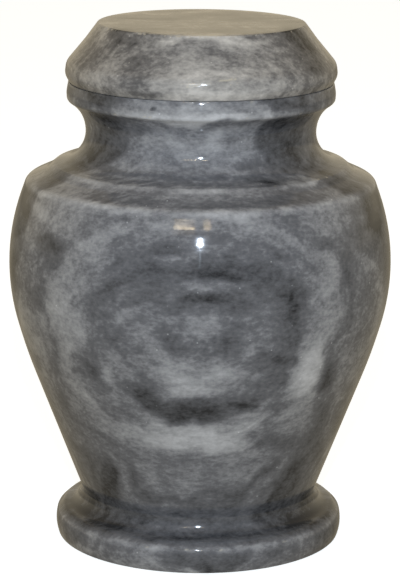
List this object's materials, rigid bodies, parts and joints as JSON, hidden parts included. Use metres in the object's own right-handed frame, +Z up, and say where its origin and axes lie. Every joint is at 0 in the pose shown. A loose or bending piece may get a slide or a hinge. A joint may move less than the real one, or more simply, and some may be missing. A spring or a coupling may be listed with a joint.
{
  "type": "cremation urn",
  "caption": "Turned marble cremation urn: a round foot, a swelling hollow body with a stepped shoulder, a collared neck and a flat-topped lid that lifts off.",
  "frame": {"origin": "centre of the flat underside, on the turning axis", "axes": "+Z up the turning axis, from the underside to the lid's flat top; the form is round, so +X and +Y are free, and the picture looks along +Y"},
  "size_m": [0.1956, 0.1956, 0.267],
  "materials": {
    "grey_marble": "polished"
  },
  "bodies": {
    "root": {"urn_body": "grey_marble", "lid": "grey_marble"}
  },
  "joints": []
}
